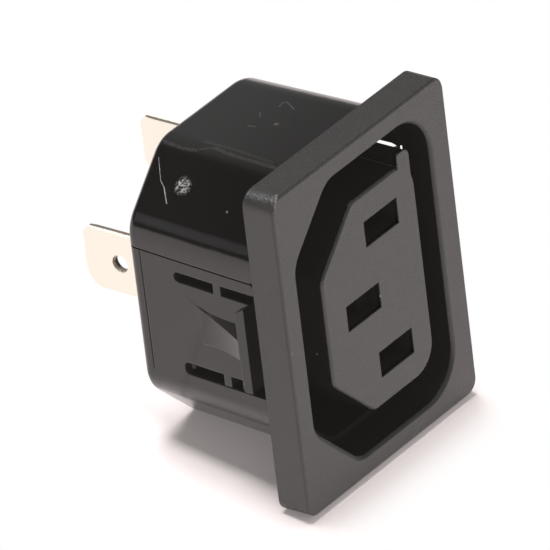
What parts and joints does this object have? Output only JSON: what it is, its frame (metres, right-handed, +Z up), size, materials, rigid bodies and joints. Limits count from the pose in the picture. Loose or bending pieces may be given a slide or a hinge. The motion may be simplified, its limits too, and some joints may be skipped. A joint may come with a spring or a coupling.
{
  "type": "power receptacle",
  "caption": "Snap-in panel power receptacle with a rectangular front plate, a D-shaped slotted tongue, spring fingers in its side walls and flat push-on tabs at the back.",
  "frame": {"origin": "centre of the front plate's back face, in the plane that seats on the panel", "axes": "+X right seen from the front, +Y back through the panel, +Z up along the long side"},
  "size_m": [0.027, 0.03, 0.034],
  "materials": {
    "housing_plastic": "dark grey, finely textured on the front plate and smoother on the shell",
    "contact_metal": "pale plated sheet"
  },
  "bodies": {
    "root": {"housing": "housing_plastic", "line_contact": "contact_metal", "neutral_contact": "contact_metal", "earth_contact": "contact_metal"}
  },
  "joints": []
}
